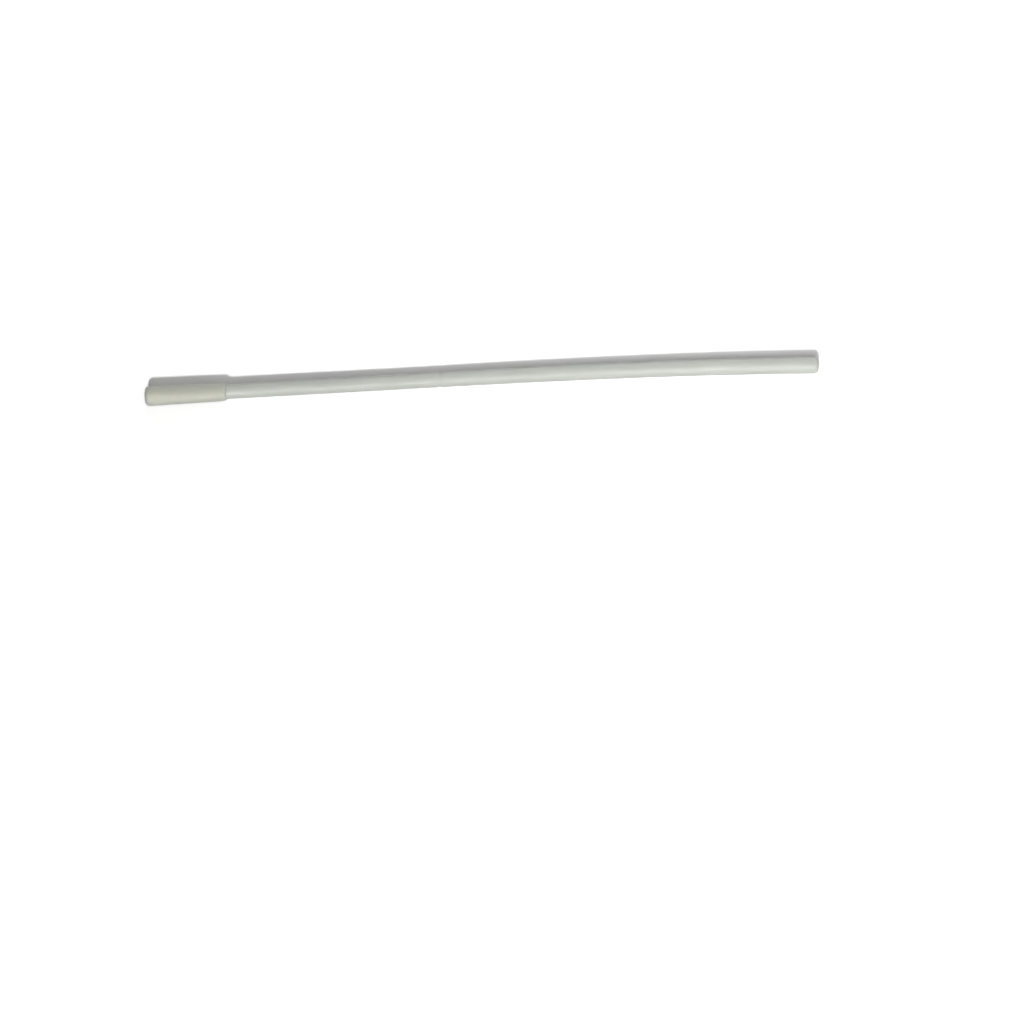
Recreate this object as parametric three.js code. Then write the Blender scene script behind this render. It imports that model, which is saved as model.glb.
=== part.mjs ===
// A flocked sampling swab: a slim moulded stick, and short upright fibres round its stepped-down nose as a
// soft blunt tip. Millimetres, +Z up. The swab lies on a table along X with its tip towards -X, and the
// origin is on the table under the middle of its bounding box.
import * as THREE from "three";

// Driving dimensions. A station is a distance along the centreline, counted from the front of the tip.
const swabLength = 150;
const neckRadius = 1.6; // stick just behind the tip
const handleRadius = 1.85; // stick at its plain end, thicker by the draft of its mould
const handleEdgeRadius = 1.05; // rounding round the flat of the plain end
const neckEdgeRadius = 0.1; // rounding where the stick steps down into the tip
const coreRadius = 1.1; // nose of the stick, inside the tip

const tipLength = 18;
const tipFrontRadius = 2.2;
const tipRearRadius = 2.05;
const tipShoulderHeight = tipRearRadius - neckRadius; // the fibres slope down to the stick at the rear
const tipShoulderLength = 1;
const fibreLength = 1; // how far the fibres reach ahead of the stick's nose
const flatSpotDepth = 0.1; // how far the soft fibres give where the tip lies on the table
const bondGap = 0.1; // room for the film of adhesive that the fibres stand in

const noseLength = 1.2; // length of a blunt nose, from its front to its full radius
const noseBluntness = 3.5; // exponent of its outline: 2 is a half ellipse, more is blunter

const snapStation = 65.5; // shallow ring at which the stick is made to be snapped
const snapWidth = 1.8;
const snapDepth = 0.12;

const bowNearTip = 0.34; // sideways bend, as the heights of a cubic curve's two inner control points
const bowNearHandle = 1.9;
const restStation = 66; // from here to its plain end the stick lies flat on the table

// Fineness of the solids.
const sides = 40;
const noseSteps = 7;
const arcSteps = 4;
const snapSteps = 8;
const longestStretch = 6; // longest straight piece of the outline, so that it can follow the bend

const point = (radius, station) => new THREE.Vector2(radius, station);

// Radius of the stick's long taper from its neck to its plain end.
function stickRadius(station) {
  return THREE.MathUtils.mapLinear(station, tipLength, swabLength, neckRadius, handleRadius);
}

// Turns a share from 0 to 1 into each of the points of a curve.
function curvePoints(steps, pointAt) {
  return Array.from({ length: steps + 1 }, (_, step) => pointAt(step / steps));
}

// A blunt nose, from the centreline at its front station out to its full radius.
function nose(radius, frontStation) {
  const power = 2 / noseBluntness;
  return curvePoints(noseSteps, (share) => {
    const outward = Math.sin(share * Math.PI / 2) ** power;
    const forward = Math.sin((1 - share) * Math.PI / 2) ** power;
    return point(radius * outward, frontStation + noseLength * (1 - forward));
  });
}

// A quarter of an ellipse that starts parallel to the centreline, at the outer radius, and ends facing
// backwards, at the end station.
function rearEdge(outerRadius, endStation, edgeHeight, edgeLength) {
  return curvePoints(arcSteps, (share) => point(
    outerRadius - edgeHeight * (1 - Math.cos(share * Math.PI / 2)),
    endStation - edgeLength * (1 - Math.sin(share * Math.PI / 2)),
  ));
}

// A quarter round that starts facing forwards, at the front station, and ends parallel to the centreline.
function frontEdge(outerRadius, frontStation, edgeRadius) {
  return curvePoints(arcSteps, (share) => point(
    outerRadius - edgeRadius * (1 - Math.sin(share * Math.PI / 2)),
    frontStation + edgeRadius * (1 - Math.cos(share * Math.PI / 2)),
  ));
}

function snapRing() {
  return curvePoints(snapSteps, (share) => {
    const station = snapStation + (share - 0.5) * snapWidth;
    return point(stickRadius(station) - snapDepth * Math.sin(share * Math.PI) ** 2, station);
  });
}

function stickOutline() {
  const neckStation = tipLength + bondGap;
  return [
    ...nose(coreRadius, fibreLength + bondGap),
    point(coreRadius, neckStation),
    ...frontEdge(neckRadius, neckStation, neckEdgeRadius),
    ...snapRing(),
    ...rearEdge(handleRadius, swabLength, handleEdgeRadius, handleEdgeRadius),
    point(0, swabLength),
  ];
}

function tipOutline() {
  const boreRadius = coreRadius + bondGap;
  return [
    ...nose(tipFrontRadius, 0),
    ...rearEdge(tipRearRadius, tipLength, tipShoulderHeight, tipShoulderLength),
    point(boreRadius, tipLength),
    ...nose(boreRadius, fibreLength).reverse(),
  ];
}

// Cuts the long straight stretches of an outline into shorter ones.
function withShortStretches(outline) {
  return outline.flatMap((end, index) => {
    const start = outline[Math.max(index - 1, 0)];
    const pieces = Math.max(Math.ceil(start.distanceTo(end) / longestStretch), 1);
    return Array.from({ length: pieces }, (_, piece) => start.clone().lerp(end, (piece + 1) / pieces));
  });
}

// The centreline at a station: bowed sideways, flat on the table at the handle, and lifted a little
// towards the tip, which is thicker than the stick.
function centreline(station) {
  const along = station / swabLength;
  const ahead = 1 - along;
  const bow = 3 * along * ahead * (bowNearTip * ahead + bowNearHandle * along);
  const lift = 1 - THREE.MathUtils.smoothstep(station, tipLength / 2, restStation);
  const liftAtTip = tipFrontRadius - flatSpotDepth - stickRadius(tipLength / 2);
  return new THREE.Vector3(station, bow, stickRadius(station) + lift * liftAtTip);
}

// Turns an outline into a round solid, bends it along the centreline and flattens it where it would reach
// through the table.
function turnedPiece(name, outline, look) {
  const geometry = new THREE.LatheGeometry(withShortStretches(outline), sides);
  const vertices = geometry.getAttribute("position");
  const alongX = new THREE.Vector3(1, 0, 0);
  const bend = new THREE.Quaternion();
  for (let index = 0; index < vertices.count; index += 1) {
    const station = vertices.getY(index);
    const direction = centreline(station + 0.5).sub(centreline(station - 0.5)).normalize();
    bend.setFromUnitVectors(alongX, direction);
    const vertex = new THREE.Vector3(0, vertices.getZ(index), vertices.getX(index));
    vertex.applyQuaternion(bend).add(centreline(station));
    vertices.setXYZ(index, vertex.x, vertex.y, Math.max(vertex.z, 0));
  }
  geometry.computeVertexNormals();
  const mesh = new THREE.Mesh(geometry, new THREE.MeshStandardMaterial(look));
  mesh.name = name;
  return mesh;
}

const swab = new THREE.Group();
swab.add(
  turnedPiece("stick", stickOutline(), { color: 0xcbcdc8, roughness: 0.45, metalness: 0 }),
  turnedPiece("flocked_tip", tipOutline(), { color: 0xc5c6b8, roughness: 0.95, metalness: 0 }),
);

const box = new THREE.Box3().setFromObject(swab);
const middle = box.getCenter(new THREE.Vector3());
swab.position.set(-middle.x, -middle.y, -box.min.z);

export default swab;
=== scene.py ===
"""Looks of a flocked sampling swab, laid out as an add-on and run as a script.

The swab lies on a pale floor along X, with its flocked tip towards -X. Everything is in metres, in the
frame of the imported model. A station is a distance along X from the front of the tip, and the swab's bowed
centreline has one point for each station. A turn is an angle round that centreline, from sideways upwards.
"""

import math

import bpy
import numpy as np
from bpy.props import FloatProperty, FloatVectorProperty, IntProperty, PointerProperty
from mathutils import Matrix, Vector


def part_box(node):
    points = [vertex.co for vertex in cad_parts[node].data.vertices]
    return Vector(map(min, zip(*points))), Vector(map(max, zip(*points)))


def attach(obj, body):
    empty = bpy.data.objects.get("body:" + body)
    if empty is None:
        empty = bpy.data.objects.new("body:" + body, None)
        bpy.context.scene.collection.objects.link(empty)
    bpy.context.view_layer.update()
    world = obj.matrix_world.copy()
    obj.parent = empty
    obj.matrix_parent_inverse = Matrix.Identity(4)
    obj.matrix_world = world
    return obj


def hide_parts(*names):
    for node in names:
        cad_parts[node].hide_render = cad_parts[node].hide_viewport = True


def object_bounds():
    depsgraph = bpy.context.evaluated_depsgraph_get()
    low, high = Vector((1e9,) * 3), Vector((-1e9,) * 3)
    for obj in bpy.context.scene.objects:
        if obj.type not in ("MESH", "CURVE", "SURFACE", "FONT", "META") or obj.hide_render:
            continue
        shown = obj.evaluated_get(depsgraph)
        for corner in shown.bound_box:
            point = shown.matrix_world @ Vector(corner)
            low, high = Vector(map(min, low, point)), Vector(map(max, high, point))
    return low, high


bl_info = {
    "name": "Flocked sampling swab",
    "version": (1, 0, 0),
    "blender": (4, 5, 0),
    "location": "3D view > Sidebar > Swab",
    "description": "Builds a moulded swab stick, its flocked fibre tip and a plain stage",
    "category": "Object",
}

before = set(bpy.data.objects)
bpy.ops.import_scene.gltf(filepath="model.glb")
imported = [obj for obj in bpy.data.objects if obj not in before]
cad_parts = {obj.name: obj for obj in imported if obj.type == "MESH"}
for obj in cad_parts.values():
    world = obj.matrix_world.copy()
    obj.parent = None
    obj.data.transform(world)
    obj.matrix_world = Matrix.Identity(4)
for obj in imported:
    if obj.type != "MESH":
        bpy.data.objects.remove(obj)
cad_low, cad_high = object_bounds()
tip_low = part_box("flocked_tip")[0]
stick_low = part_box("stick")[0]

MM = 0.001

# Seeds of the random draws.
SEED = 7
BED_SEED = SEED + 1
TUFT_SEED = SEED + 10
LENGTH_SEED = SEED + 20

# Shape of the swab, as in the solids.
NOSE_LENGTH = 1.2 * MM  # length of a blunt nose, from its front to its full radius
NOSE_BLUNTNESS = 3.5  # exponent of its outline: 2 is a half ellipse, more is blunter
BOW_NEAR_TIP = 0.34 * MM  # sideways bend, as the heights of a cubic curve's two inner control points
BOW_NEAR_HANDLE = 1.9 * MM
REST_STATION = 66 * MM  # from here to its plain end the stick lies flat on the floor
FLAT_SPOT_DEPTH = 0.1 * MM  # how far the soft fibres give where the tip lies on the floor
FIBRE_LENGTH = 1 * MM  # from the film of adhesive to the outside of the tip
BOND_GAP = 0.1 * MM  # room for the film of adhesive between the stick's nose and the fibres
SHOULDER_LENGTH = 1 * MM  # over this length the fibres slope down to the stick at the rear of the tip

# Fibres of the tip, and the unevenness of its bed and of the moulded stick.
ROOT_DEPTH = 0.06 * MM  # how deep the fibres' rods go into the fibre bed
TUFT_SIZE = 0.9 * MM  # the fibres lean together over about this distance
OWN_LEAN = 0.14  # how far each fibre leans by itself
LENGTH_PATCH = 0.6 * MM  # the fibres are a little longer or shorter together over about this distance
LENGTH_PATCH_SHARE = 0.03
LENGTH_SPREAD = 0.02 * MM  # how far each fibre's length differs by itself
STRAY_LEAN = 2  # a fibre that stands out of the coat leans this many times as far
STRAY_LENGTHS = (0.05 * MM, 0.22 * MM)  # least and most that it stands out
WIDTH_SHARES = (0.85, 1.15)  # thinnest and thickest fibre, as shares of the fibre width
END_TAPER = 0.8  # a fibre's end is this much of its root's thickness
FLAT_SPOT_GAPS = (0.005 * MM, 0.03 * MM)  # least and most room under the fibres that lie on the floor
BED_RELIEF = 0.012 * MM  # height of the fibre bed's humps
BED_PATCH = 0.3 * MM  # size of those humps
WAVINESS_PATCH = 3 * MM  # size of the humps in the moulded surface

# Finish of the pieces. A tone is a share of the piece's colour. A depth is how far light goes in.
PLASTIC_TONES = (1.03, 0.95)
PLASTIC_ROUGHNESS = (0.42, 0.58)
PLASTIC_GRAIN_HEIGHT = 0.015 * MM
PLASTIC_TRANSLUCENCE = 0.7
PLASTIC_DEPTH = 1 * MM
# The fibre bed's two tones are darker than the fibres' ends: painted shade deep in the pile, mixed in random
# patches.
BED_PAINTED_SHADE_TONES = (0.94, 0.87)
BED_ROUGHNESS = 0.9
BED_GRAIN_HEIGHT = 0.03 * MM
BED_DEPTH = 2 * MM
FIBRE_TONES = (1.03, 0.95)
# Painted shade: a fibre's root is darker than its end, for the shade deep in the pile.
FIBRE_ROOT_PAINTED_SHADE = 0.92
FIBRE_ROUGHNESS = 0.7
FIBRE_DEPTH = 0.3 * MM
FIBRE_SHEEN = 0.6
FIBRE_SHEEN_ROUGHNESS = 0.5
CLOUD_RANGE = (0.35, 0.65)  # the middle part of a noise, which runs from one tone to the other
GLOSS_RANGE = (0.3, 0.7)  # the same for an uneven gloss

# Fineness of the meshes.
TURNS = 96
NOSE_STEPS = 12
EDGE_STEPS = 8
SNAP_STEPS = 24
LONGEST_STRETCH = 0.8 * MM  # longest straight piece of the stick's outline
LONGEST_BED_STRETCH = LONGEST_STRETCH / 4
TANGENT_STEP = 0.5 * MM  # how far on either side of a station its direction is measured
ENVELOPE_STEPS = 600
CLOUD_WAVES = 40
WAVELENGTH_SHARES = (0.6, 1.6)  # shortest and longest of those waves, as shares of the wanted length

# Where the mould lines and the fibres stand, and what the fibres' mesh holds for its material.
SEAM_TURN = 42  # which of the turns carries the first of the two mould lines
GOLDEN_ANGLE = math.pi * (3 - math.sqrt(5))
SPREAD = 0.4  # how far a fibre strays from its even place, as a share of the fibres' spacing
HEIGHT_ATTRIBUTE = "height_in_coat"
EXPORT_MAP = "OFBake"
CELL_MARGIN = 0.1  # bare edge round each fibre in its cell of the texture map
CAP_REACH = 0.2  # how far a fibre's end faces reach into their cell

WHITE = (1, 1, 1)

# Directions on the floor, as turns clockwise from the front.
KEY_TURN = math.radians(12)
BACK_TURN = math.radians(200)
CAMERA_TURN = math.radians(2.74)


# ---------------------------------------------------------------- sizes and colours


class SwabSizes(bpy.types.PropertyGroup):
    """Sizes of the swab's solids, shared by all its pieces"""

    length: FloatProperty(
        name="Length", description="Whole length of the swab", default=150 * MM, unit="LENGTH")
    neck_radius: FloatProperty(
        name="Neck radius", description="Radius of the stick just behind the tip",
        default=1.6 * MM, unit="LENGTH", precision=5)
    handle_radius: FloatProperty(
        name="Handle radius", description="Radius of the stick at its plain end",
        default=1.85 * MM, unit="LENGTH", precision=5)
    core_radius: FloatProperty(
        name="Core radius", description="Radius of the stick's nose, inside the tip",
        default=1.1 * MM, unit="LENGTH", precision=5)
    tip_length: FloatProperty(
        name="Tip length", description="Length of the flocked tip", default=18 * MM, unit="LENGTH")
    tip_front_radius: FloatProperty(
        name="Tip front radius", description="Outer radius of the fibres near the front of the tip",
        default=2.2 * MM, unit="LENGTH", precision=5)
    tip_rear_radius: FloatProperty(
        name="Tip rear radius", description="Outer radius of the fibres at the rear of the tip",
        default=2.05 * MM, unit="LENGTH", precision=5)


class StickLook(bpy.types.PropertyGroup):
    """Edges, mould marks and finish of the stick"""

    handle_edge: FloatProperty(
        name="Handle edge", description="Rounding round the flat of the plain end",
        default=1.05 * MM, unit="LENGTH", precision=5)
    neck_edge: FloatProperty(
        name="Neck edge", description="Rounding where the stick steps down into the tip",
        default=0.1 * MM, unit="LENGTH", precision=5)
    snap_station: FloatProperty(
        name="Snap ring", description="Station of the shallow ring at which the stick is snapped",
        default=65.5 * MM, unit="LENGTH")
    snap_width: FloatProperty(
        name="Snap ring width", description="Width of the snap ring", default=1.8 * MM, unit="LENGTH",
        precision=5)
    snap_depth: FloatProperty(
        name="Snap ring depth", description="Depth of the snap ring", default=0.12 * MM, unit="LENGTH",
        precision=5)
    seam_height: FloatProperty(
        name="Seam height", description="Height of the two fine mould lines along the stick",
        default=0.03 * MM, unit="LENGTH", precision=6)
    waviness: FloatProperty(
        name="Waviness", description="Unevenness of the moulded surface", default=0.008 * MM,
        unit="LENGTH", precision=6)
    colour: FloatVectorProperty(
        name="Colour", description="Colour of the moulded plastic", default=(0.54, 0.555, 0.515),
        subtype="COLOR", min=0, max=1)


class FlockLook(bpy.types.PropertyGroup):
    """Fibres of the tip and their finish"""

    fibre_count: IntProperty(
        name="Fibres", description="Number of fibres in the coat", default=24500, min=100, max=25000)
    fibre_width: FloatProperty(
        name="Fibre width", description="Thickness of one fibre", default=0.042 * MM, unit="LENGTH",
        precision=6)
    pile_depth: FloatProperty(
        name="Pile depth", description="How deep one can see between the fibres' ends",
        default=0.13 * MM, unit="LENGTH", precision=5)
    lean: FloatProperty(
        name="Lean", description="How far the fibres lean together in tufts", default=0.05, min=0, max=1)
    stray_share: FloatProperty(
        name="Strays", description="Share of the fibres that stand out of the coat", default=0.04,
        min=0, max=1, subtype="FACTOR")
    colour: FloatVectorProperty(
        name="Colour", description="Colour of the fibres' ends", default=(0.72, 0.73, 0.63),
        subtype="COLOR", min=0, max=1)


class StageLook(bpy.types.PropertyGroup):
    """Floor, light and camera"""

    floor_size: FloatProperty(
        name="Floor size", description="Width of the floor", default=4, unit="LENGTH")
    floor_white: FloatProperty(
        name="Floor white", description="How light the floor is to the eye alone", default=1.22)
    floor_bounce: FloatProperty(
        name="Floor bounce", description="Share of the light that the floor gives back", default=0.2,
        min=0, max=1, subtype="FACTOR")
    sky_ahead: FloatProperty(
        name="Sky ahead", description="Strength of the soft light from the camera's side", default=0.02)
    sky_behind: FloatProperty(
        name="Sky behind", description="Strength of the soft light from behind the swab", default=0.24)
    key_strength: FloatProperty(
        name="Key light", description="Strength of the key light", default=2.6)
    key_height: FloatProperty(
        name="Key height", description="Height of the key light above the horizon",
        default=math.radians(48), subtype="ANGLE")
    key_softness: FloatProperty(
        name="Key softness", description="How wide the key light is, as seen from the swab",
        default=math.radians(7), subtype="ANGLE")
    rim_strength: FloatProperty(
        name="Rim light", description="Strength of the low light from behind the swab", default=1.35)
    rim_height: FloatProperty(
        name="Rim height", description="Height of the rim light above the horizon",
        default=math.radians(10), subtype="ANGLE")
    rim_softness: FloatProperty(
        name="Rim softness", description="How wide the rim light is, as seen from the swab",
        default=math.radians(30), subtype="ANGLE")
    side_power: FloatProperty(
        name="Side light", description="Power of the small light above the handle", default=0.05)
    side_place: FloatVectorProperty(
        name="Side light's place", description="Where the small light is, from the middle of the swab",
        default=(70 * MM, -65 * MM, 110 * MM), subtype="TRANSLATION")
    side_size: FloatProperty(
        name="Side light's size", description="Width of the small light", default=50 * MM, unit="LENGTH")
    camera_distance: FloatProperty(
        name="Camera distance", description="Distance from the camera to its aim", default=0.6,
        unit="LENGTH")
    camera_height: FloatProperty(
        name="Camera height", description="Height of the camera above the horizon",
        default=math.radians(80), subtype="ANGLE")
    camera_lens: FloatProperty(
        name="Camera lens", description="Focal length of the camera", default=95.65, unit="CAMERA")
    camera_aim: FloatVectorProperty(
        name="Camera aim", description="What the camera is aimed at, from the middle of the swab",
        default=(5.2 * MM, -30.2 * MM, 0), subtype="TRANSLATION")


# ---------------------------------------------------------------- shape of the swab


def stick_radius(sizes, station):
    """Radius of the stick's long taper from its neck to its plain end."""
    share = (station - sizes.tip_length) / (sizes.length - sizes.tip_length)
    return sizes.neck_radius + (sizes.handle_radius - sizes.neck_radius) * share


def fibres_end(sizes):
    """The station where the fibres meet the stick's neck, across the room for the film of adhesive."""
    return sizes.tip_length + BOND_GAP


def bow(sizes, station):
    """How far the centreline bends sideways at a station."""
    along = station / sizes.length
    ahead = 1 - along
    return 3 * along * ahead * (BOW_NEAR_TIP * ahead + BOW_NEAR_HANDLE * along)


def centreline(sizes, station):
    """The centreline's point at each station: bowed sideways, flat at the handle, lifted near the tip.

    It is placed from the side of the tip's box, which the tip reaches where its nose ends.
    """
    side = tip_low.y + sizes.tip_front_radius - bow(sizes, NOSE_LENGTH)
    share = np.clip((station - sizes.tip_length / 2) / (REST_STATION - sizes.tip_length / 2), 0, 1)
    lift = 1 - share * share * (3 - 2 * share)
    lift_at_tip = sizes.tip_front_radius - FLAT_SPOT_DEPTH - stick_radius(sizes, sizes.tip_length / 2)
    height = stick_low.z + stick_radius(sizes, station) + lift * lift_at_tip
    return np.stack((tip_low.x + station, side + bow(sizes, station), height), axis=-1)


def cross_section(sizes, station):
    """Unit arrows along, sideways and upwards across the centreline at each station."""
    along = centreline(sizes, station + TANGENT_STEP) - centreline(sizes, station - TANGENT_STEP)
    along /= np.linalg.norm(along, axis=-1, keepdims=True)
    sideways = np.cross((0, 0, 1), along)
    sideways /= np.linalg.norm(sideways, axis=-1, keepdims=True)
    return along, sideways, np.cross(along, sideways)


def nose(radius, front):
    """A blunt nose as rows of radius and station, from the centreline out to its full radius."""
    share = np.linspace(0, 1, NOSE_STEPS + 1)
    power = 2 / NOSE_BLUNTNESS
    outward = np.sin(share * math.pi / 2) ** power
    forward = np.sin((1 - share) * math.pi / 2) ** power
    return np.column_stack((radius * outward, front + NOSE_LENGTH * (1 - forward)))


def rear_edge(radius, end, height, length):
    """A quarter of an ellipse from the outer radius to a face that looks backwards."""
    turn = np.linspace(0, math.pi / 2, EDGE_STEPS + 1)
    return np.column_stack((radius - height * (1 - np.cos(turn)), end - length * (1 - np.sin(turn))))


def front_edge(radius, front, edge):
    """A quarter round from a face that looks forwards to the outer radius."""
    turn = np.linspace(0, math.pi / 2, EDGE_STEPS + 1)
    return np.column_stack((radius - edge * (1 - np.sin(turn)), front + edge * (1 - np.cos(turn))))


def with_short_stretches(outline, longest):
    """The outline with its long straight stretches cut into shorter ones."""
    rows = [outline[:1]]
    for start, end in zip(outline, outline[1:]):
        pieces = max(math.ceil(np.linalg.norm(end - start) / longest), 1)
        share = np.arange(1, pieces + 1)[:, None] / pieces
        rows.append(start + (end - start) * share)
    return np.concatenate(rows)


def clouds(points, size, seed):
    """A smooth random height at each point, about 1 high, in humps of about the given size."""
    rng = np.random.default_rng(seed)
    direction = rng.normal(size=(CLOUD_WAVES, 3))
    direction /= np.linalg.norm(direction, axis=1, keepdims=True)
    wavelength = 2 * size * rng.uniform(*WAVELENGTH_SHARES, CLOUD_WAVES)
    start = rng.uniform(0, 2 * math.pi, CLOUD_WAVES)
    phase = points @ (direction * (2 * math.pi / wavelength)[:, None]).T + start
    return np.sin(phase).sum(axis=-1) / math.sqrt(CLOUD_WAVES / 2)


def turned_body(sizes, outline, relief):
    """Vertices and faces of a closed round body, whose outline starts and ends on the centreline.

    relief takes the points and the stations of the rings, and gives what is added to the radius. Nothing
    reaches below the floor.
    """
    radius, station = outline[1:-1].T
    turn = np.arange(TURNS) * 2 * math.pi / TURNS
    _, sideways, upward = cross_section(sizes, station)
    outward = np.cos(turn)[:, None] * sideways[:, None] + np.sin(turn)[:, None] * upward[:, None]
    centre = centreline(sizes, station)[:, None]
    plain = centre + radius[:, None, None] * outward
    height = relief(plain, station[:, None])
    rings = centre + (radius[:, None] + height)[..., None] * outward
    rings[..., 2] = np.maximum(rings[..., 2], stick_low.z)
    poles = centreline(sizes, outline[[0, -1], 1])
    vertices = np.concatenate((poles[:1], rings.reshape(-1, 3), poles[1:]))

    last = len(vertices) - 1
    start = 1 + TURNS * np.arange(len(station) - 1)[:, None]
    here = np.arange(TURNS)
    beside = (here + 1) % TURNS
    sides = np.stack((start + here, start + beside, start + TURNS + beside, start + TURNS + here), axis=-1)
    front = np.stack((np.zeros(TURNS, int), 1 + beside, 1 + here), axis=-1)
    back = np.stack((np.full(TURNS, last), last - TURNS + here, last - TURNS + beside), axis=-1)
    return vertices, sides.reshape(-1, 4).tolist() + front.tolist() + back.tolist()


def add_piece(name, vertices, faces, material, replaced_node):
    """Makes a smooth-shaded mesh piece that rides on the swab and stands for one of its solids."""
    mesh = bpy.data.meshes.new(name)
    mesh.from_pydata(vertices.tolist(), [], faces)
    mesh.shade_smooth()
    mesh.materials.append(material)
    piece = bpy.data.objects.new(name, mesh)
    bpy.context.scene.collection.objects.link(piece)
    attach(piece, "root")
    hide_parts(replaced_node)
    return piece


# ---------------------------------------------------------------- effects that materials share


def new_group(name, inputs, output):
    """A shader node group with the given inputs and one output, its tree and its two end nodes."""
    tree = bpy.data.node_groups.new(name, "ShaderNodeTree")
    for label, kind, default in inputs:
        socket = tree.interface.new_socket(label, in_out="INPUT", socket_type=kind)
        socket.default_value = default
    tree.interface.new_socket(output[0], in_out="OUTPUT", socket_type=output[1])
    return tree, tree.nodes.new("NodeGroupInput"), tree.nodes.new("NodeGroupOutput")


def noise_along_swab(tree, entry, detail):
    """A noise with patches of the group's Patch size, drawn out along the swab by its Stretch."""
    place = tree.nodes.new("ShaderNodeTexCoord")
    squeeze = tree.nodes.new("ShaderNodeCombineXYZ")
    squeeze.inputs["Y"].default_value = 1
    squeeze.inputs["Z"].default_value = 1
    shorter = tree.nodes.new("ShaderNodeMath")
    shorter.operation = "DIVIDE"
    shorter.inputs[0].default_value = 1
    tree.links.new(entry.outputs["Stretch"], shorter.inputs[1])
    tree.links.new(shorter.outputs["Value"], squeeze.inputs["X"])
    drawn = tree.nodes.new("ShaderNodeVectorMath")
    drawn.operation = "MULTIPLY"
    tree.links.new(place.outputs["Object"], drawn.inputs[0])
    tree.links.new(squeeze.outputs["Vector"], drawn.inputs[1])
    sized = tree.nodes.new("ShaderNodeMath")
    sized.operation = "DIVIDE"
    sized.inputs[0].default_value = 1
    tree.links.new(entry.outputs["Patch size"], sized.inputs[1])
    noise = tree.nodes.new("ShaderNodeTexNoise")
    noise.inputs["Detail"].default_value = detail
    tree.links.new(drawn.outputs["Vector"], noise.inputs["Vector"])
    tree.links.new(sized.outputs["Value"], noise.inputs["Scale"])
    return noise


def spread_noise(tree, noise, part):
    """Spreads the given part of a noise's range over the whole range from 0 to 1."""
    spread = tree.nodes.new("ShaderNodeMapRange")
    spread.inputs["From Min"].default_value = part[0]
    spread.inputs["From Max"].default_value = part[1]
    tree.links.new(noise.outputs["Fac"], spread.inputs["Value"])
    return spread


def cloudy_tone_group(name):
    """Two tones mixed in soft patches."""
    tree, entry, out = new_group(name, (
        ("Tone", "NodeSocketColor", (0.7, 0.7, 0.7, 1)),
        ("Other tone", "NodeSocketColor", (0.6, 0.6, 0.6, 1)),
        ("Patch size", "NodeSocketFloat", 2 * MM),
        ("Stretch", "NodeSocketFloat", 1),
    ), ("Colour", "NodeSocketColor"))
    noise = noise_along_swab(tree, entry, detail=3)
    spread = spread_noise(tree, noise, CLOUD_RANGE)
    mix = tree.nodes.new("ShaderNodeMix")
    mix.data_type = "RGBA"
    tree.links.new(spread.outputs["Result"], mix.inputs["Factor"])
    tree.links.new(entry.outputs["Tone"], mix.inputs["A"])
    tree.links.new(entry.outputs["Other tone"], mix.inputs["B"])
    tree.links.new(mix.outputs["Result"], out.inputs["Colour"])
    return tree


def patchy_value_group(name):
    """A value that wanders between two ends, for an uneven gloss."""
    tree, entry, out = new_group(name, (
        ("Least", "NodeSocketFloat", 0.4),
        ("Most", "NodeSocketFloat", 0.6),
        ("Patch size", "NodeSocketFloat", 2 * MM),
        ("Stretch", "NodeSocketFloat", 1),
    ), ("Value", "NodeSocketFloat"))
    noise = noise_along_swab(tree, entry, detail=2)
    spread = spread_noise(tree, noise, GLOSS_RANGE)
    tree.links.new(entry.outputs["Least"], spread.inputs["To Min"])
    tree.links.new(entry.outputs["Most"], spread.inputs["To Max"])
    tree.links.new(spread.outputs["Result"], out.inputs["Value"])
    return tree


def fine_relief_group(name):
    """The height of a fine grain."""
    tree, entry, out = new_group(name, (
        ("Patch size", "NodeSocketFloat", 0.2 * MM),
        ("Stretch", "NodeSocketFloat", 1),
    ), ("Height", "NodeSocketFloat"))
    noise = noise_along_swab(tree, entry, detail=4)
    tree.links.new(noise.outputs["Fac"], out.inputs["Height"])
    return tree


GROUP_MAKERS = {
    "Cloudy tone": cloudy_tone_group,
    "Patchy value": patchy_value_group,
    "Fine relief": fine_relief_group,
}


def place_group(material, name, **values):
    """Places a shared group in a material, which builds it the first time, and sets its inputs.

    An input's name is given in lower case with underscores.
    """
    node = material.node_tree.nodes.new("ShaderNodeGroup")
    node.node_tree = bpy.data.node_groups.get(name) or GROUP_MAKERS[name](name)
    for label, value in values.items():
        node.inputs[label.capitalize().replace("_", " ")].default_value = value
    return node


def new_material(name, roughness):
    """A material with one Principled shader, and that shader."""
    material = bpy.data.materials.new(name)
    material.use_nodes = True
    shader = material.node_tree.nodes["Principled BSDF"]
    shader.inputs["Roughness"].default_value = roughness
    return material, shader


def scatter_light(shader, weight, depth):
    """Lets light wander under the surface, to the same depth in every colour."""
    shader.inputs["Subsurface Weight"].default_value = weight
    shader.inputs["Subsurface Radius"].default_value = WHITE
    shader.inputs["Subsurface Scale"].default_value = depth


def add_bump(material, shader, height, distance):
    """Feeds a height into the shader's normal."""
    bump = material.node_tree.nodes.new("ShaderNodeBump")
    bump.inputs["Distance"].default_value = distance
    material.node_tree.links.new(height, bump.inputs["Height"])
    material.node_tree.links.new(bump.outputs["Normal"], shader.inputs["Normal"])


def shade(colour, factor):
    """A colour made lighter or darker, with its alpha."""
    return (*(channel * factor for channel in colour), 1)


def cloudy_tone(material, colour, tones, **patches):
    """A colour that wanders between two tones of itself in patches."""
    tone, other_tone = (shade(colour, factor) for factor in tones)
    return place_group(material, "Cloudy tone", tone=tone, other_tone=other_tone, **patches)


# ---------------------------------------------------------------- the stick


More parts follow.
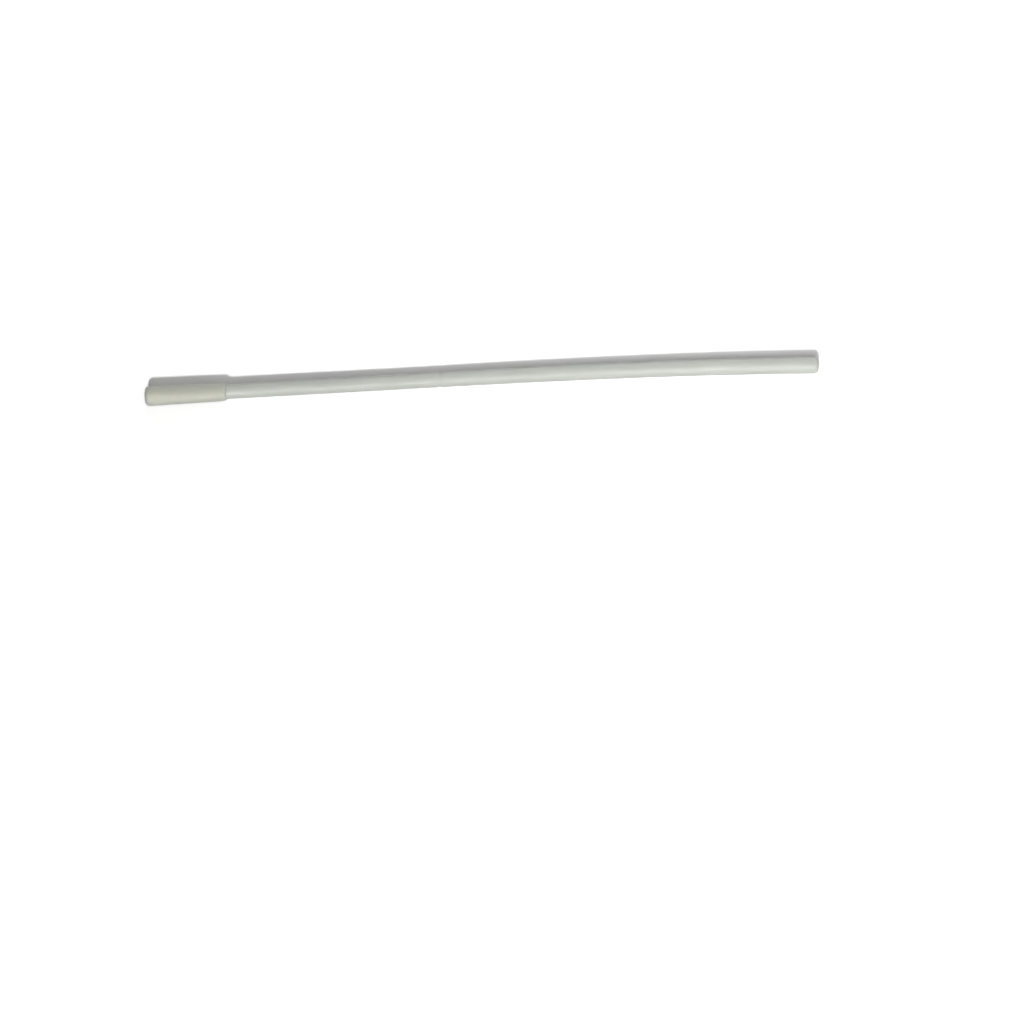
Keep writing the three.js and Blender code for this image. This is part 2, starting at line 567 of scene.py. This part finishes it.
def stick_outline(sizes, look):
    """The stick from the front of its hidden nose to the middle of its plain end."""
    neck = fibres_end(sizes)
    front = FIBRE_LENGTH + BOND_GAP
    share = np.linspace(0, 1, SNAP_STEPS + 1)
    station = look.snap_station + (share - 0.5) * look.snap_width
    depth = look.snap_depth * np.sin(share * math.pi) ** 2
    return np.concatenate((
        nose(sizes.core_radius, front),
        ((sizes.core_radius, neck),),
        front_edge(sizes.neck_radius, neck, look.neck_edge),
        np.column_stack((stick_radius(sizes, station) - depth, station)),
        rear_edge(sizes.handle_radius, sizes.length, look.handle_edge, look.handle_edge),
        ((0, sizes.length),),
    ))


def stick_material(look):
    """Satin off-white plastic with faint clouds, a fine moulded grain and an uneven gloss."""
    least_rough, most_rough = PLASTIC_ROUGHNESS
    material, shader = new_material("satin_moulded_plastic", least_rough)
    scatter_light(shader, PLASTIC_TRANSLUCENCE, PLASTIC_DEPTH)
    links = material.node_tree.links
    tone = cloudy_tone(material, look.colour, PLASTIC_TONES, patch_size=1.2 * MM, stretch=8)
    links.new(tone.outputs["Colour"], shader.inputs["Base Color"])
    gloss = place_group(
        material, "Patchy value", least=least_rough, most=most_rough, patch_size=0.8 * MM, stretch=6)
    links.new(gloss.outputs["Value"], shader.inputs["Roughness"])
    grain = place_group(material, "Fine relief", patch_size=0.09 * MM, stretch=1.5)
    add_bump(material, shader, grain.outputs["Height"], PLASTIC_GRAIN_HEIGHT)
    return material


class SWAB_OT_add_stick(bpy.types.Operator):
    """Adds the moulded stick with its snap ring and fine mould lines"""

    bl_idname = "swab.add_stick"
    bl_label = "Stick"

    def execute(self, context):
        sizes, look = context.scene.swab_sizes, context.scene.swab_stick

        def relief(points, station):
            bare = (station > sizes.tip_length + look.neck_edge) & (station < sizes.length)
            seam = (np.arange(TURNS) % (TURNS // 2) == SEAM_TURN) * look.seam_height
            return bare * (look.waviness * clouds(points, WAVINESS_PATCH, SEED) + seam)

        outline = with_short_stretches(stick_outline(sizes, look), LONGEST_STRETCH)
        vertices, faces = turned_body(sizes, outline, relief)
        add_piece("swab_stick", vertices, faces, stick_material(look), "stick")
        return {"FINISHED"}


# ---------------------------------------------------------------- the flocked tip


def tip_envelope(sizes):
    """The outline that the fibres' ends reach, from the front of the tip to where they meet the stick."""
    shoulder = sizes.tip_rear_radius - sizes.neck_radius
    return np.concatenate((
        nose(sizes.tip_front_radius, 0),
        rear_edge(sizes.tip_rear_radius, fibres_end(sizes), shoulder, SHOULDER_LENGTH),
    ))


def fibre_bed_outline(sizes, look):
    """The dense lower part of the fibres: an envelope smaller by the pile's depth, with the nose's bore."""
    depth = look.pile_depth
    bore = sizes.core_radius + BOND_GAP
    outer = sizes.tip_rear_radius - depth
    return np.concatenate((
        nose(sizes.tip_front_radius - depth, depth),
        rear_edge(outer, fibres_end(sizes), outer - sizes.neck_radius, SHOULDER_LENGTH),
        ((bore, fibres_end(sizes)),),
        nose(bore, FIBRE_LENGTH)[::-1],
    ))


def fibre_bed_material(look):
    """Matte fibres seen deep between the ends of the coat, with painted shade: their slightly darker tones
    stand for the shade deep in the pile.
    """
    material, shader = new_material("fibre_bed", BED_ROUGHNESS)
    scatter_light(shader, 1, BED_DEPTH)
    # Painted shade: the bed's tones are darker than the fibres' own colour, for the shade deep in the pile.
    tone = cloudy_tone(material, look.colour, BED_PAINTED_SHADE_TONES, patch_size=0.25 * MM, stretch=1)
    material.node_tree.links.new(tone.outputs["Colour"], shader.inputs["Base Color"])
    grain = place_group(material, "Fine relief", patch_size=0.06 * MM, stretch=1)
    add_bump(material, shader, grain.outputs["Height"], BED_GRAIN_HEIGHT)
    return material


class SWAB_OT_add_fibre_bed(bpy.types.Operator):
    """Adds the dense lower part of the tip's fibres"""

    bl_idname = "swab.add_fibre_bed"
    bl_label = "Fibre bed"

    def execute(self, context):
        sizes, look = context.scene.swab_sizes, context.scene.swab_flock
        bore = sizes.core_radius + 2 * BOND_GAP  # what lies further in lines the bore and stays smooth

        def relief(points, station):
            outside = np.linalg.norm(points - centreline(sizes, station), axis=-1) > bore
            return outside * BED_RELIEF * clouds(points, BED_PATCH, BED_SEED)

        outline = with_short_stretches(fibre_bed_outline(sizes, look), LONGEST_BED_STRETCH)
        vertices, faces = turned_body(sizes, outline, relief)
        add_piece("fibre_bed", vertices, faces, fibre_bed_material(look), "flocked_tip")
        return {"FINISHED"}


def spread_over_envelope(sizes, count, rng):
    """Evenly spread places on the tip's envelope: their points and their outward arrows."""
    outline = with_short_stretches(tip_envelope(sizes), sizes.tip_length / ENVELOPE_STEPS)
    steps = np.diff(outline, axis=0)
    girth = math.pi * (outline[1:, 0] + outline[:-1, 0])
    area = np.concatenate(((0,), np.cumsum(girth * np.linalg.norm(steps, axis=1))))
    number = np.arange(count)
    wanted = (number + rng.random(count)) / count * area[-1]
    spacing = math.sqrt(area[-1] / count)
    radius = np.interp(wanted, area, outline[:, 0])
    station = np.interp(wanted, area, outline[:, 1]) + rng.uniform(-SPREAD, SPREAD, count) * spacing
    station = np.clip(station, 0, fibres_end(sizes))
    shift = rng.uniform(-SPREAD, SPREAD, count) * spacing
    turn = number * GOLDEN_ANGLE + shift / np.maximum(radius, spacing)

    slope = steps / np.linalg.norm(steps, axis=1, keepdims=True)
    stretch = np.clip(np.searchsorted(area, wanted) - 1, 0, len(slope) - 1)
    outward_share, forward_share = slope[stretch, 1], slope[stretch, 0]
    along, sideways, upward = cross_section(sizes, station)
    across = np.cos(turn)[:, None] * sideways + np.sin(turn)[:, None] * upward
    outward = outward_share[:, None] * across - forward_share[:, None] * along
    return centreline(sizes, station) + radius[:, None] * across, outward


def grow_fibres(sizes, look, rng):
    """Roots and ends of all the fibres, which stand on the bed, lean in tufts and end at the envelope."""
    count = look.fibre_count
    surface, outward = spread_over_envelope(sizes, count, rng)
    depth = look.pile_depth + ROOT_DEPTH
    tuft = np.stack([clouds(surface, TUFT_SIZE, TUFT_SEED + axis) for axis in range(3)], axis=-1)
    lean = look.lean * tuft + OWN_LEAN * rng.normal(size=(count, 3))
    lean -= (lean * outward).sum(axis=-1, keepdims=True) * outward
    stray = rng.random(count) < look.stray_share
    lean[stray] *= STRAY_LEAN
    direction = outward + lean
    direction /= np.linalg.norm(direction, axis=-1, keepdims=True)
    patch = LENGTH_PATCH_SHARE * clouds(surface, LENGTH_PATCH, LENGTH_SEED)
    length = depth * (1 + patch) + LENGTH_SPREAD * rng.normal(size=count)
    length += stray * rng.uniform(*STRAY_LENGTHS, count)
    root = surface - depth * outward
    end = root + length[:, None] * direction
    lowest = stick_low.z + rng.uniform(*FLAT_SPOT_GAPS, count) + look.fibre_width / 2
    end[:, 2] = np.maximum(end[:, 2], lowest)
    root[:, 2] = np.maximum(root[:, 2], lowest)
    return root, end


def fibre_meshes(look, root, end, rng):
    """Vertices and faces of a closed three-sided rod for each fibre, slightly thinner at its end.

    A rod's six vertices are the three round its root and then the three round its end.
    """
    count = len(root)
    direction = end - root
    direction /= np.linalg.norm(direction, axis=-1, keepdims=True)
    helper = np.cross(direction, rng.normal(size=(count, 3)))
    helper /= np.linalg.norm(helper, axis=-1, keepdims=True)
    other = np.cross(direction, helper)
    corner = np.arange(3) * 2 * math.pi / 3
    ring = np.cos(corner)[:, None] * helper[:, None] + np.sin(corner)[:, None] * other[:, None]
    radius = look.fibre_width / 2 * rng.uniform(*WIDTH_SHARES, count)[:, None, None]
    root_ring = root[:, None] + radius * ring
    end_ring = end[:, None] + END_TAPER * radius * ring
    vertices = np.concatenate((root_ring, end_ring), axis=1).reshape(-1, 3)
    first = 6 * np.arange(count)[:, None, None]
    sides = (first + ((0, 1, 4, 3), (1, 2, 5, 4), (2, 0, 3, 5))).reshape(-1, 4)
    caps = (first + ((2, 1, 0), (3, 4, 5))).reshape(-1, 3)
    return vertices, sides.tolist() + caps.tolist()


def lay_out_map(mesh, count):
    """A texture map with one square cell for each fibre, its root at the bottom and its end at the top."""
    across = math.ceil(math.sqrt(count))
    number = np.arange(count)
    corner = np.stack((number % across, number // across), axis=-1)[:, None] / across
    low, middle, high = CELL_MARGIN, 0.5, 1 - CELL_MARGIN
    side = np.array(((low, low), (high, low), (high, high), (low, high)))
    root_cap = ((low, low), (high, low), (middle, low + CAP_REACH))
    end_cap = ((low, high), (high, high), (middle, high - CAP_REACH))
    caps = np.array(root_cap + end_cap)
    places = [(corner + shape / across).reshape(-1, 2) for shape in (np.tile(side, (3, 1)), caps)]
    layer = mesh.uv_layers.new(name=EXPORT_MAP)
    layer.uv.foreach_set("vector", np.concatenate(places).ravel())


def fibre_material(look):
    """Matte nylon fibres, with painted shade that darkens them from their ends down to their roots, and
    cloudy from tuft to tuft.
    """
    material, shader = new_material("nylon_fibres", FIBRE_ROUGHNESS)
    scatter_light(shader, 1, FIBRE_DEPTH)
    shader.inputs["Sheen Weight"].default_value = FIBRE_SHEEN
    shader.inputs["Sheen Roughness"].default_value = FIBRE_SHEEN_ROUGHNESS
    links = material.node_tree.links
    height = material.node_tree.nodes.new("ShaderNodeAttribute")
    height.attribute_name = HEIGHT_ATTRIBUTE
    tone = cloudy_tone(material, look.colour, FIBRE_TONES, patch_size=0.5 * MM, stretch=1.5)
    # Painted shade: from the ends' tone down to a darker tone at the roots, by the height in the coat.
    mix = material.node_tree.nodes.new("ShaderNodeMix")
    mix.data_type = "RGBA"
    mix.inputs["A"].default_value = shade(look.colour, FIBRE_ROOT_PAINTED_SHADE)
    links.new(height.outputs["Fac"], mix.inputs["Factor"])
    links.new(tone.outputs["Colour"], mix.inputs["B"])
    links.new(mix.outputs["Result"], shader.inputs["Base Color"])
    return material


class SWAB_OT_add_fibres(bpy.types.Operator):
    """Adds the upright fibres of the tip, each as a fine rod of its own"""

    bl_idname = "swab.add_fibres"
    bl_label = "Fibres"

    def execute(self, context):
        sizes, look = context.scene.swab_sizes, context.scene.swab_flock
        rng = np.random.default_rng(SEED)
        root, end = grow_fibres(sizes, look, rng)
        vertices, faces = fibre_meshes(look, root, end, rng)
        piece = add_piece("tip_fibres", vertices, faces, fibre_material(look), "flocked_tip")
        height = piece.data.attributes.new(HEIGHT_ATTRIBUTE, "FLOAT", "POINT")
        # Roots 0 and ends 1, which place the painted shade along each fibre.
        roots_then_ends = (0.0, 0, 0, 1, 1, 1)
        height.data.foreach_set("value", np.tile(roots_then_ends, look.fibre_count))
        lay_out_map(piece.data, look.fibre_count)
        return {"FINISHED"}


# ---------------------------------------------------------------- stage


def seen_directly(tree):
    """1 where a ray comes from the camera, a reflection or a clear surface, and 0 for the light itself."""
    path = tree.nodes.new("ShaderNodeLightPath")
    either = tree.nodes.new("ShaderNodeMath")
    either.operation = "MAXIMUM"
    tree.links.new(path.outputs["Is Camera Ray"], either.inputs[0])
    tree.links.new(path.outputs["Is Glossy Ray"], either.inputs[1])
    any_of_them = tree.nodes.new("ShaderNodeMath")
    any_of_them.operation = "MAXIMUM"
    tree.links.new(either.outputs["Value"], any_of_them.inputs[0])
    tree.links.new(path.outputs["Is Transmission Ray"], any_of_them.inputs[1])
    return any_of_them.outputs["Value"]


def add_floor(look):
    """A wide matte floor, near white to the eye and plainer to the light that it bounces."""
    half = look.floor_size / 2
    mesh = bpy.data.meshes.new("floor")
    corners = [(x * half, y * half, stick_low.z) for x, y in ((-1, -1), (1, -1), (1, 1), (-1, 1))]
    mesh.from_pydata(corners, [], [(0, 1, 2, 3)])
    floor = bpy.data.objects.new("floor", mesh)
    bpy.context.scene.collection.objects.link(floor)
    material, shader = new_material("white_floor", 1)
    shader.inputs["Specular IOR Level"].default_value = 0
    mix = material.node_tree.nodes.new("ShaderNodeMix")
    mix.data_type = "RGBA"
    mix.inputs["A"].default_value = shade(WHITE, look.floor_bounce)
    mix.inputs["B"].default_value = shade(WHITE, look.floor_white)
    material.node_tree.links.new(seen_directly(material.node_tree), mix.inputs["Factor"])
    material.node_tree.links.new(mix.outputs["Result"], shader.inputs["Base Color"])
    mesh.materials.append(material)


def add_sky(look):
    """A white sky, which as a light is weak on the camera's side and stronger behind the swab."""
    world = bpy.data.worlds.new("sky")
    world.use_nodes = True
    tree = world.node_tree
    background = tree.nodes["Background"]
    background.inputs["Color"].default_value = shade(WHITE, 1)
    place = tree.nodes.new("ShaderNodeTexCoord")
    backwards = tree.nodes.new("ShaderNodeVectorMath")
    backwards.operation = "DOT_PRODUCT"
    backwards.inputs[1].default_value = arrow_towards(BACK_TURN, 0)
    light = tree.nodes.new("ShaderNodeMapRange")
    light.inputs["From Min"].default_value = -1
    light.inputs["To Min"].default_value = look.sky_ahead
    light.inputs["To Max"].default_value = look.sky_behind
    strength = tree.nodes.new("ShaderNodeMix")
    strength.inputs["B"].default_value = 1
    tree.links.new(place.outputs["Generated"], backwards.inputs[0])
    tree.links.new(backwards.outputs["Value"], light.inputs["Value"])
    tree.links.new(seen_directly(tree), strength.inputs["Factor"])
    tree.links.new(light.outputs["Result"], strength.inputs["A"])
    tree.links.new(strength.outputs["Result"], background.inputs["Strength"])
    bpy.context.scene.world = world


def aim(thing, target):
    """Points a light or a camera at a target."""
    thing.rotation_euler = (Vector(target) - thing.location).to_track_quat("-Z", "Y").to_euler()


def add_light(name, kind, place, target, energy):
    """A light at a place, aimed at a target."""
    data = bpy.data.lights.new(name, kind)
    data.energy = energy
    light = bpy.data.objects.new(name, data)
    bpy.context.scene.collection.objects.link(light)
    light.location = place
    light.visible_camera = False
    aim(light, target)
    return data


def arrow_towards(turn, height):
    """A unit arrow towards a turn on the floor and a height above the horizon."""
    level = math.cos(height)
    return Vector((-level * math.sin(turn), -level * math.cos(turn), math.sin(height)))


def add_lights(look):
    """A soft key light from the front left, a low rim light from behind, and a small one over the handle."""
    middle = (cad_low + cad_high) / 2
    towards_key = arrow_towards(KEY_TURN, look.key_height)
    key = add_light("key_light", "SUN", middle + towards_key, middle, look.key_strength)
    key.angle = look.key_softness
    towards_rim = arrow_towards(BACK_TURN, look.rim_height)
    rim = add_light("rim_light", "SUN", middle + towards_rim, middle, look.rim_strength)
    rim.angle = look.rim_softness
    side_place = middle + Vector(look.side_place)
    side = add_light("side_light", "AREA", side_place, (middle + cad_high) / 2, look.side_power)
    side.size = look.side_size


def add_camera(look):
    """The camera, looking steeply down, with the swab above the middle of its view."""
    data = bpy.data.cameras.new("camera")
    data.lens = look.camera_lens
    camera = bpy.data.objects.new("camera", data)
    bpy.context.scene.collection.objects.link(camera)
    target = (cad_low + cad_high) / 2 + Vector(look.camera_aim)
    camera.location = target + look.camera_distance * arrow_towards(CAMERA_TURN, look.camera_height)
    aim(camera, target)
    bpy.context.scene.camera = camera


class SWAB_OT_add_stage(bpy.types.Operator):
    """Adds the floor, the sky, the lights and the camera"""

    bl_idname = "swab.add_stage"
    bl_label = "Stage"

    def execute(self, context):
        look = context.scene.swab_stage
        context.scene.view_settings.view_transform = "Standard"
        add_floor(look)
        add_sky(look)
        add_lights(look)
        add_camera(look)
        return {"FINISHED"}


# ---------------------------------------------------------------- panel and registration


class SWAB_PT_pieces(bpy.types.Panel):
    """The swab's pieces and their sizes and colours"""

    bl_label = "Sampling swab"
    bl_idname = "SWAB_PT_pieces"
    bl_space_type = "VIEW_3D"
    bl_region_type = "UI"
    bl_category = "Swab"

    def draw(self, context):
        for operator in OPERATORS:
            self.layout.operator(operator.bl_idname)
        for name, group in SETTINGS.items():
            box = self.layout.box()
            for field in group.__annotations__:
                box.prop(getattr(context.scene, name), field)


SETTINGS = {
    "swab_sizes": SwabSizes,
    "swab_stick": StickLook,
    "swab_flock": FlockLook,
    "swab_stage": StageLook,
}
OPERATORS = (SWAB_OT_add_stick, SWAB_OT_add_fibre_bed, SWAB_OT_add_fibres, SWAB_OT_add_stage)
CLASSES = (*SETTINGS.values(), *OPERATORS, SWAB_PT_pieces)


def register():
    """Registers the classes and puts the settings on the scene."""
    for part in CLASSES:
        bpy.utils.register_class(part)
    for name, group in SETTINGS.items():
        setattr(bpy.types.Scene, name, PointerProperty(type=group))


def unregister():
    """Takes the settings off the scene again and unregisters the classes."""
    for name in SETTINGS:
        delattr(bpy.types.Scene, name)
    for part in reversed(CLASSES):
        bpy.utils.unregister_class(part)


def main():
    """Builds the swab and its stage."""
    register()
    bpy.ops.swab.add_stick()
    bpy.ops.swab.add_fibre_bed()
    bpy.ops.swab.add_fibres()
    bpy.ops.swab.add_stage()


if __name__ == "__main__":
    main()
